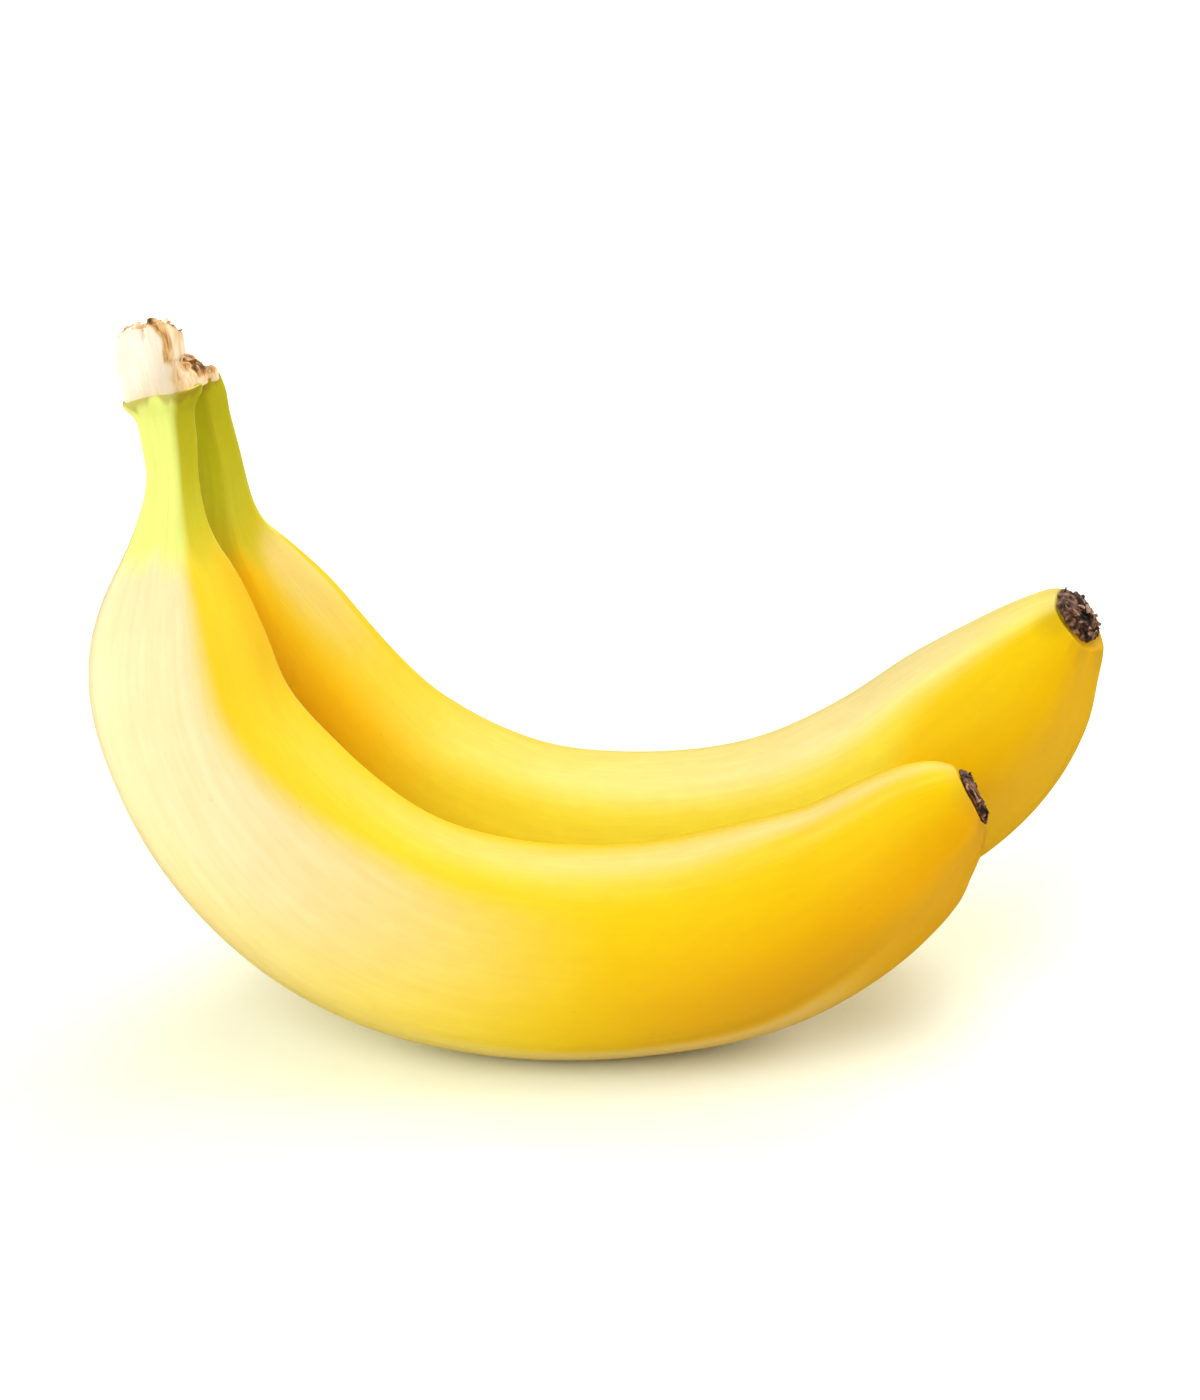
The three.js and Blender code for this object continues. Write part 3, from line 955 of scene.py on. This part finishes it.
def cork_crown():
    """The cut stump of the hand, frayed and browned, standing on both necks."""
    rng = np.random.default_rng(7)
    cork = cork_block()
    before, out = places(cork) / MM, outwards(cork)
    block, torn = torn_parts(before, out)
    fissure, past_edge = front_splits(before)
    place = before + out * frayed(before, out, block, torn, fissure, past_edge)[:, None]
    move_to(cork, place * MM)
    raised = convexity(cork, 14)
    keep(cork, "brown", browned(before, place, raised, block, torn, fissure, past_edge))
    keep(cork, "grain", place)
    loose = (torn > TORN_ENOUGH) & (out[:, 2] > -0.1)
    high = (before[:, 0] > 1) | (before[:, 2] > 10)
    cork = joined([cork, *torn_bits(place, out, loose, raised, high, rng)])
    foot = (np.array(NEAR_LINE[0]) + FAR_LINE[0]) / 2 + CLEARANCE * crown_up()
    stand_on(cork, crown_up(), foot)
    co = places(cork)
    co[:, 2] = np.minimum(co[:, 2], cad_box[1][2])
    move_to(cork, co)
    bpy.ops.object.shade_smooth()
    return cork


def flower_disc(name):
    """The flower's crust before it crumples: a ring drawn out and resized into a rim, a bowl and a heart."""
    deselect()
    bpy.ops.mesh.primitive_circle_add(
        vertices=FLOWER_SIDES, radius=FLOWER[0][0] * MM, fill_type="NGON", location=(0, 0, FLOWER[0][1] * MM)
    )
    disc = named(name)
    bpy.ops.object.mode_set(mode="EDIT")
    for (radius, height), (wider, higher) in zip(FLOWER, FLOWER[1:]):
        grow, top = wider / radius, (0, 0, higher * MM)
        extrude((0, 0, (higher - height) * MM), (grow, grow, 1), center_override=top)
    bpy.ops.object.mode_set(mode="OBJECT")
    smooth_out(disc, FLOWER_SMOOTHING)
    return disc


def crumple(crust, seed):
    """Gives the crust a ragged edge and folds, and keeps how worn it is, from 0 to 1."""
    place, out = places(crust) / MM, outwards(crust)
    radius = np.hypot(place[:, 0], place[:, 1])
    round_it = place * (1, 1, 0) / np.maximum(radius, 1e-6)[:, None]
    teeth = uneven(round_it, FLOWER_TEETH, seed) + uneven(round_it, FLOWER_FRAY, seed)
    place = place * np.stack([1 + teeth, 1 + teeth, np.ones_like(teeth)], 1)
    folds = np.abs(uneven(place, FLOWER_FOLDS, seed)) + uneven(place, FLOWER_CRUMBS, seed) - FOLDS_SINK
    place = place + out * (folds * between(place[:, 2], *FOLDS_FROM))[:, None]
    place[:, 2] += uneven(place, FLOWER_WARP, seed)
    move_to(crust, place * MM)
    pit = 1 - between(radius, *PIT)
    worn = 0.4 + 1.5 * convexity(crust, 8) + uneven(place, FLOWER_WEAR, seed) - 0.7 * pit
    keep(crust, "worn", np.clip(worn, 0, 1))
    keep(crust, "grain", place)


def flower_scraps(seed):
    """Curled scraps that stand up from the crust, each with its own shade."""
    rng = np.random.default_rng(seed)
    turn = rng.uniform(0, 0.5) + np.arange(FLAKES) * GOLDEN_TURN
    far = FLAKES_REACH * np.sqrt(rng.uniform(0.2, 1, FLAKES))
    ray = np.column_stack([np.cos(turn), np.sin(turn), 0 * turn])
    rise = FLAKES_RISE - FLAKES_FALL * between(far, *FLAKES_FALL_FROM)
    spots = ray * far[:, None] + (0, 0, 1) * rise[:, None]
    looks = ray * rng.uniform(-0.3, 0.5, FLAKES)[:, None] + (0, 0, 1) + rng.normal(0, 0.35, (FLAKES, 3))
    scraps = scatter(flake(), spots, looks, rng.uniform(*FLAKE_SIZES, FLAKES), rng)
    return shaded(scraps, "worn", rng.uniform(*FLAKE_SHADES, FLAKES), FLAKE_PATCHES, seed)


def dried_flower(name, line, tip, seed):
    """The crust that the flower leaves at a blossom end, with a dark pit and curled scraps."""
    crust = flower_disc(name)
    crumple(crust, seed)
    crust = joined([crust, *flower_scraps(seed)])
    place = places(crust) / MM
    radius = np.hypot(place[:, 0], place[:, 1])
    place += np.outer(1 - between(radius, *OFFSET_FADES), (PIT_OFFSET, -PIT_OFFSET, 0))
    place[:, 2] -= RIM_DROOP * between(radius, *DROOP_COMES) ** 2
    move_to(crust, place * tip["crust"] * MM)
    uphill = unit(np.array([0, 0, 1]) - facing(tip)[2] * facing(tip))
    stand_on(crust, facing(tip), np.array(line[-1]) + CLEARANCE * facing(tip) + tip["crust_up"] * uphill)
    bpy.ops.object.shade_smooth_by_angle(angle=math.radians(CRUST_SHARP))
    return crust


# ---- materials ----

NOISE_SPAN = (0.28, 0.72)  # noise seldom leaves these, so that they are stretched to its whole range

# What ripeness and the painted light and shade lay over the yellow, in turn: the number that a fruit keeps
# for it, and its colour.
LOOKS_AND_PAINTED_LIGHT = [
    # lemon-yellow, partly the skin's own tone and partly painted top light
    ("lemon", "#e5d83c"),
    # cream painted highlights and painted light bounced up from the floor
    ("pale", "#e6d6aa"),
    # deeper gold, partly ripeness and partly painted shade
    ("deep", "#d59a00"),
    # painted shadow along the lower ridge
    ("ridge_shadow", "#bd8800"),
    # amber painted as light bounced into the groove between the fruits
    ("amber", "#efb200"),
]


def linear(code):
    """An sRGB hex colour as linear RGBA."""
    srgb = [int(code[i : i + 2], 16) / 255 for i in (1, 3, 5)]
    return [c / 12.92 if c <= 0.04045 else ((c + 0.055) / 1.055) ** 2.4 for c in srgb] + [1.0]


def material(name):
    made = bpy.data.materials.new(name)
    made.use_nodes = True
    return made, made.node_tree.nodes["Principled BSDF"]


def node(tree_owner, kind, links=None, **settings):
    """Adds a node. Settings with a capital are its sockets and others its own, and links feed its sockets."""
    tree = tree_owner.node_tree
    made = tree.nodes.new(kind)
    for key, value in settings.items():
        if key[0].isupper():
            made.inputs[key.replace("_", " ")].default_value = value
        else:
            setattr(made, key, value)
    for key, source in (links or {}).items():
        tree.links.new(source, made.inputs[key])
    return made


def ramp(tree_owner, source, stops):
    """A colour ramp along the source."""
    made = node(tree_owner, "ShaderNodeValToRGB", {"Fac": source})
    band = made.color_ramp
    while len(band.elements) < len(stops):
        band.elements.new(0.5)
    for element, (at, code) in zip(band.elements, stops):
        element.position = at
        element.color = linear(code)
    return made.outputs["Color"]


def cloud(tree_owner, place, scale, detail, low, high):
    """Soft noise in millimetres, from low to high; scale is how many lumps there are to a millimetre."""
    sized = node(tree_owner, "ShaderNodeVectorMath", {0: place}, operation="MULTIPLY")
    sized.inputs[1].default_value = scale
    vector = {"Vector": sized.outputs["Vector"]}
    lumps = node(tree_owner, "ShaderNodeTexNoise", vector, Scale=1.0, Detail=detail)
    darkest, lightest = NOISE_SPAN
    spread = node(
        tree_owner, "ShaderNodeMapRange", {"Value": lumps.outputs["Fac"]},
        clamp=True, From_Min=darkest, From_Max=lightest, To_Min=low, To_Max=high,
    )
    return spread.outputs["Result"]


def mixed(tree_owner, share, first, second):
    """Two colours mixed by a share; each is a node's socket or a fixed colour."""
    made = node(tree_owner, "ShaderNodeMix", {"Factor": share}, data_type="RGBA")
    for socket, colour in ((made.inputs[6], first), (made.inputs[7], second)):
        if isinstance(colour, list):
            socket.default_value = colour
        else:
            tree_owner.node_tree.links.new(colour, socket)
    return made.outputs[2]


def held(tree_owner, name, socket="Fac"):
    """A number or a vector that the piece keeps at every point."""
    return node(tree_owner, "ShaderNodeAttribute", attribute_name=name).outputs[socket]


def added(tree_owner, first, second):
    return node(tree_owner, "ShaderNodeMath", {0: first, 1: second}, operation="ADD").outputs["Value"]


def relief(tree_owner, height, strength, rise, below=None):
    """A bump that rises by so many mm, over another one if there is one below."""
    links = {"Height": height}
    if below:
        links["Normal"] = below
    return node(tree_owner, "ShaderNodeBump", links, Strength=strength, Distance=rise * MM).outputs["Normal"]


def finish(tree_owner, shader, **sources):
    """Feeds the shader's sockets."""
    for key, source in sources.items():
        tree_owner.node_tree.links.new(source, shader.inputs[key.replace("_", " ")])


def neck_green(made, along):
    """Unripe skin: a light waxy green, and a darker olive painted as shade on the sides turned away from the
    lights.
    """
    olive = ramp(made, along, [(0.0, "#aaa40c"), (0.05, "#b6b018"), (0.09, "#c0ba28"), (0.115, "#c9b924")])
    return mixed(made, held(made, "dark_green"), linear("#d6de78"), olive)


def yellow_and_painted_light(made, place, along):
    """Ripe skin, with light and shade painted on it: lemon on its top, partly painted top light; cream
    painted highlights; deep gold where it ripened first and as painted shade; a painted ridge shadow; amber
    painted as light bounced into the groove.
    """
    colour = ramp(made, along, [
        (0.15, "#e4c222"), (0.3, "#e4c626"), (0.45, "#e5c928"),
        (0.55, "#e5c71c"), (0.68, "#e4c40c"), (0.8, "#e4c104"),
    ])
    for name, code in LOOKS_AND_PAINTED_LIGHT:
        colour = mixed(made, held(made, name), colour, linear(code))
    fibres = cloud(made, place, (0.8, 0.8, 0.04), 3, 0, 0.16)
    return mixed(made, fibres, colour, linear("#d6a610"))


def marks(made, place, along, colour):
    """What age leaves on the skin: a faint mottle, small brown specks, and dry edges at both ends."""
    mottle = cloud(made, place, (0.35, 0.35, 0.2), 4, 0, 0.1)
    colour = mixed(made, mottle, colour, linear("#c08a1a"))
    cells = node(made, "ShaderNodeTexVoronoi", {"Vector": place}, Scale=0.16, Randomness=1.0)
    specks = ramp(made, cells.outputs["Distance"], [(0.0, "#8a8a8a"), (0.03, "#585858"), (0.055, "#000000")])
    colour = mixed(made, specks, colour, linear("#9a6a24"))
    dry = ramp(made, along, [
        (0.0, "#c0c0c0"), (0.003, "#404040"), (0.007, "#000000"), (0.984, "#000000"), (1.0, "#909090"),
    ])
    return mixed(made, dry, colour, linear("#8a6420"))


def peel():
    """Banana peel, ripened on the bunch: a smooth waxy skin, green at the neck and yellow below."""
    made, skin = material("banana_peel")
    place = held(made, "straight", "Vector")
    along = added(made, held(made, "share"), cloud(made, place, (0.1, 0.1, 0.03), 2, -0.008, 0.008))
    turned = ramp(made, along, [(0.118, "#000000"), (0.143, "#ffffff")])
    colour = mixed(made, turned, neck_green(made, along), yellow_and_painted_light(made, place, along))
    strings = relief(made, cloud(made, place, (2.2, 2.2, 0.09), 3, 0, 1), 0.4, 0.05)
    pores = relief(made, cloud(made, place, (3.5, 3.5, 3.5), 2, 0, 1), 0.4, 0.02, below=strings)
    waxy_gloss = cloud(made, place, (0.3, 0.3, 0.12), 3, 0.37, 0.48)
    finish(made, skin, Base_Color=marks(made, place, along, colour), Roughness=waxy_gloss, Normal=pores)
    skin.inputs["IOR"].default_value = 1.45
    skin.inputs["Specular IOR Level"].default_value = 0.12
    return made


def weathered_cork():
    """Dry banana cork where the hand was cut: matt, cream inside, browned along every torn edge."""
    made, face = material("crown_cork")
    grain = held(made, "grain", "Vector")
    aged = added(made, held(made, "brown"), cloud(made, grain, (3.0, 3.0, 0.25), 3, -0.13, 0.13))
    colour = ramp(made, aged, [
        (0.0, "#efe0d2"), (0.22, "#ecd8bc"), (0.4, "#e0b984"),
        (0.58, "#bd8b52"), (0.78, "#7d5026"), (1.0, "#43290f"),
    ])
    fibres = relief(made, cloud(made, grain, (6.0, 6.0, 0.8), 3, 0, 1), 0.6, 0.12)
    finish(made, face, Base_Color=colour, Normal=fibres)
    face.inputs["Roughness"].default_value = 0.85
    return made


def dried():
    """Dried flower tissue: brittle, dark brown in its folds and worn to a greyish tan along its edges."""
    made, face = material("dried_flower")
    grain = held(made, "grain", "Vector")
    aged = added(made, held(made, "worn"), cloud(made, grain, (2.2, 2.2, 2.2), 3, -0.16, 0.16))
    colour = ramp(made, aged, [
        (0.0, "#120b07"), (0.3, "#2d1a10"), (0.55, "#5c3a26"), (0.8, "#8c6550"), (1.0, "#b5917a"),
    ])
    crust = relief(made, cloud(made, grain, (5.0, 5.0, 5.0), 3, 0, 1), 0.6, 0.12)
    finish(made, face, Base_Color=colour, Normal=crust)
    face.inputs["Roughness"].default_value = 0.75
    return made


def plain(name, code, roughness):
    made, skin = material(name)
    skin.inputs["Base Color"].default_value = linear(code)
    skin.inputs["Roughness"].default_value = roughness
    return made


def paint(piece, made):
    piece.data.materials.clear()
    piece.data.materials.append(made)


# ---- the set ----


def softbox(name, azimuth, lift, size, power, gloss):
    """A square softbox, facing the bunch, that lights the matt skin, or with gloss only its sheen."""
    light = bpy.data.lights.new(name, "AREA")
    light.size = size
    light.energy = power
    lamp = bpy.data.objects.new(name, light)
    bpy.context.scene.collection.objects.link(lamp)
    turn, rise = math.radians(azimuth), math.radians(lift)
    away = Vector((math.sin(turn) * math.cos(rise), -math.cos(turn) * math.cos(rise), math.sin(rise)))
    lamp.location = LIT_POINT + LAMPS_AWAY * away
    lamp.rotation_euler = (-away).to_track_quat("-Z", "Y").to_euler()
    lamp.visible_diffuse = not gloss
    lamp.visible_glossy = gloss


def pale_floor():
    deselect()
    bpy.ops.mesh.primitive_circle_add(vertices=FLOOR_SIDES, radius=FLOOR_RADIUS, fill_type="NGON")
    floor = named("floor")
    paint(floor, plain("matt_pale_table", "#f7fff6", 0.9))
    floor.visible_glossy = False


def white_room():
    """White behind the bunch, and a soft warm light from all round."""
    room = bpy.data.worlds.new("white_room")
    bpy.context.scene.world = room
    room.use_nodes = True
    seen = node(room, "ShaderNodeLightPath").outputs["Is Camera Ray"]
    tint = node(room, "ShaderNodeMix", {"Factor": seen}, data_type="RGBA")
    tint.inputs["A"].default_value = [c * ROOM_FILL for c in linear("#feefcc")[:3]] + [1]
    tint.inputs["B"].default_value = (1, 1, 1, 1)
    finish(room, room.node_tree.nodes["Background"], Color=tint.outputs["Result"])
    room.cycles_visibility.glossy = False


def camera():
    lens = bpy.data.cameras.new("camera")
    lens.lens = LENS
    lens.clip_start, lens.clip_end = 0.01, 20
    eye = bpy.data.objects.new("camera", lens)
    bpy.context.scene.collection.objects.link(eye)
    target = Vector(EYE_AIM) * MM
    lift = math.radians(EYE_LIFT)
    eye.location = target + EYE_AWAY * Vector((0, -math.cos(lift), math.sin(lift)))
    eye.rotation_euler = (target - eye.location).to_track_quat("-Z", "Y").to_euler()
    bpy.context.scene.camera = eye


# ---- the bunch ----

front = banana("front_banana", NEAR_LINE, NEAR_DEPTH, NEAR_TIP, NEAR_LOOK)
back = banana("back_banana", FAR_LINE, FAR_DEPTH, FAR_TIP, FAR_LOOK)
skin = peel()
for fruit, cad in ((front, "banana_front"), (back, "banana_back")):
    paint(fruit, skin)
    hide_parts(cad)
    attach(fruit, "root")

stump = cork_crown()
paint(stump, weathered_cork())
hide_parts("crown")
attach(stump, "root")

crust_finish = dried()
ends = (
    (dried_flower("front_flower", NEAR_LINE, NEAR_TIP, 3), "blossom_end_front"),
    (dried_flower("back_flower", FAR_LINE, FAR_TIP, 5), "blossom_end_back"),
)
for end, cad in ends:
    paint(end, crust_finish)
    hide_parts(cad)
    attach(end, "root")

pale_floor()
white_room()
for lamp in SOFTBOXES:
    softbox(*lamp)
camera()
bpy.context.scene.view_settings.view_transform = "Standard"
